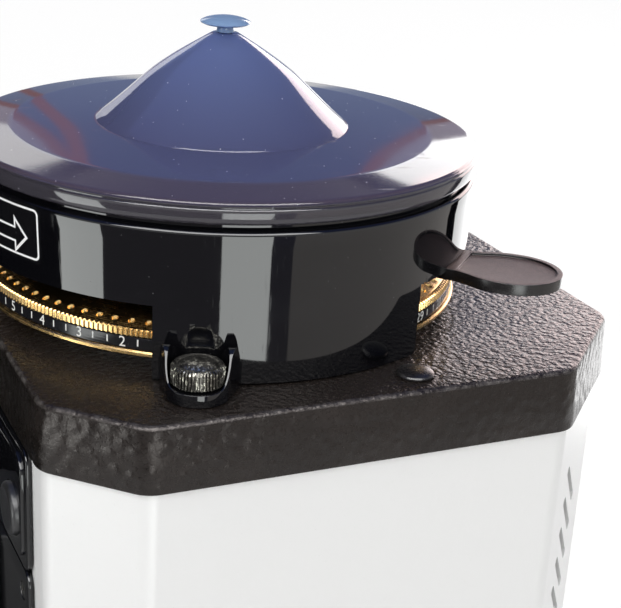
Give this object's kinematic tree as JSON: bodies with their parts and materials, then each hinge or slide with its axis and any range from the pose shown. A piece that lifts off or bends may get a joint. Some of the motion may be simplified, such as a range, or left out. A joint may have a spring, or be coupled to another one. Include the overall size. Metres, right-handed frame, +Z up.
{
  "type": "espresso coffee grinder",
  "caption": "On-demand espresso grinder: peaked clear lid on a glossy windowed collar, graduated brass adjusting ring, eight-sided plate on a white casing.",
  "frame": {"origin": "middle of the bounding box's foot, on the surface that the feet stand on", "axes": "+Z up, -Y to the front where the spout and fork are, +X to the machine's left-hand side as it faces you, which the picture shows"},
  "size_m": [0.1776, 0.3, 0.4291],
  "materials": {
    "wrinkle_black": "wrinkle black paint",
    "white_shell": "smooth white paint",
    "gloss_black": "high gloss black",
    "matt_black": "matt black moulding",
    "ring_brass": "turned brass, worn brown on its crown",
    "band_black": "black anodised scale with pale numbers",
    "clear_lid": "clear violet-tinted plastic",
    "bright_steel": "ground steel",
    "dark_steel": "blackened steel",
    "raw_aluminium": "machined aluminium",
    "paddle_brown": "satin grey-brown moulding",
    "foot_rubber": "black rubber",
    "board_green": "circuit board",
    "display_glass": "dark display window"
  },
  "bodies": {
    "machine": {"base": "wrinkle_black", "foot_1": "foot_rubber", "foot_2": "foot_rubber", "foot_3": "foot_rubber", "foot_4": "foot_rubber", "casing": "white_shell", "switch_frame": "matt_black", "cable_gland": "matt_black", "capacitor": "raw_aluminium", "control_board": "board_green", "top_plate": "wrinkle_black", "plate_screw_1": "dark_steel", "plate_screw_2": "dark_steel", "collar": "gloss_black", "finger_guard": "bright_steel", "click_sleeve": "bright_steel", "grinding_chamber": "raw_aluminium", "chamber_bolt_1": "bright_steel", "chamber_bolt_2": "bright_steel", "chamber_bolt_3": "bright_steel", "chamber_bolt_4": "bright_steel", "carrier_spring_1": "bright_steel", "carrier_spring_2": "bright_steel", "carrier_spring_3": "bright_steel", "motor_bell_upper": "raw_aluminium", "motor_bell_lower": "raw_aluminium", "bearing_upper": "bright_steel", "bearing_lower": "bright_steel", "stator": "dark_steel", "control_panel": "gloss_black", "lower_panel": "gloss_black", "display": "display_glass", "button_carrier": "matt_black", "outlet_duct": "matt_black", "spout": "matt_black", "filter_fork": "bright_steel", "dose_switch": "matt_black"},
    "tray": {"grounds_tray": "matt_black"},
    "rocker": {"power_rocker": "gloss_black"},
    "clamp_1": {"thumb_screw_1": "dark_steel"},
    "clamp_2": {"thumb_screw_2": "dark_steel"},
    "clamp_3": {"thumb_screw_3": "dark_steel"},
    "gate": {"gate_blade": "bright_steel", "gate_paddle": "paddle_brown"},
    "click": {"click_pin": "bright_steel"},
    "ring": {"adjusting_ring": "ring_brass", "number_band": "band_black"},
    "lid_body": {"lid": "clear_lid", "lid_knob": "matt_black"},
    "upper_carrier": {"upper_burr_carrier": "raw_aluminium", "upper_burr": "bright_steel"},
    "rotor_body": {"lower_burr": "bright_steel", "burr_wheel": "raw_aluminium", "wheel_nut": "bright_steel", "motor_shaft": "bright_steel", "rotor": "dark_steel", "fan": "matt_black"},
    "select_1": {"dose_select_button_1": "matt_black"},
    "select_2": {"dose_select_button_2": "matt_black"},
    "dose": {"dose_button": "matt_black"}
  },
  "joints": [
    {"name": "tray_slide", "type": "slide", "parent": "machine", "child": "tray", "axis": [0, -1, 0], "range_m": [0, 0.08]},
    {"name": "rocker_tilt", "type": "hinge", "parent": "machine", "child": "rocker", "pos_m": [-0.045, 0.126, 0.088], "axis": [1, 0, 0], "range_deg": [-16, 0]},
    {"name": "clamp_turn_1", "type": "hinge", "parent": "machine", "child": "clamp_1", "pos_m": [0.07382, -0.01053, 0.3466], "axis": [0, 0, 1], "continuous": true},
    {"name": "clamp_turn_2", "type": "hinge", "parent": "machine", "child": "clamp_2", "pos_m": [-0.00805, 0.1034, 0.3466], "axis": [0, 0, 1], "continuous": true},
    {"name": "clamp_turn_3", "type": "hinge", "parent": "machine", "child": "clamp_3", "pos_m": [-0.06578, -0.02447, 0.3466], "axis": [0, 0, 1], "continuous": true},
    {"name": "gate_slide", "type": "slide", "parent": "machine", "child": "gate", "axis": [0.7071, 0.7071, 0], "range_m": [0, 0.0435]},
    {"name": "click_travel", "type": "slide", "parent": "machine", "child": "click", "axis": [0, 0, 1], "range_m": [0, 0.001], "stiffness_N_per_m": 800},
    {"name": "ring_turn", "type": "hinge", "parent": "machine", "child": "ring", "pos_m": [0, 0.0228, 0.3466], "axis": [0, 0, 1], "range_deg": [-180, 180]},
    {"name": "carrier_travel", "type": "slide", "parent": "machine", "child": "upper_carrier", "axis": [0, 0, 1], "range_m": [-0.00075, 0.00075], "deforming": ["carrier_spring_1", "carrier_spring_2", "carrier_spring_3"]},
    {"name": "lid_lift", "type": "slide", "parent": "machine", "child": "lid_body", "axis": [0, 0, 1], "range_m": [0, 0.12]},
    {"name": "rotor_spin", "type": "hinge", "parent": "machine", "child": "rotor_body", "pos_m": [0, 0.0228, 0.3466], "axis": [0, 0, 1], "continuous": true},
    {"name": "select_press_1", "type": "slide", "parent": "machine", "child": "select_1", "axis": [0, 1, 0], "range_m": [0, 0.001], "stiffness_N_per_m": 600},
    {"name": "select_press_2", "type": "slide", "parent": "machine", "child": "select_2", "axis": [0, 1, 0], "range_m": [0, 0.001], "stiffness_N_per_m": 600},
    {"name": "dose_press", "type": "slide", "parent": "machine", "child": "dose", "axis": [0, 1, 0], "range_m": [0, 0.003], "stiffness_N_per_m": 400}
  ],
  "couplings": [
    {"joint": "carrier_travel", "follows": "ring_turn", "m_per_rad": 0.00023873}
  ]
}
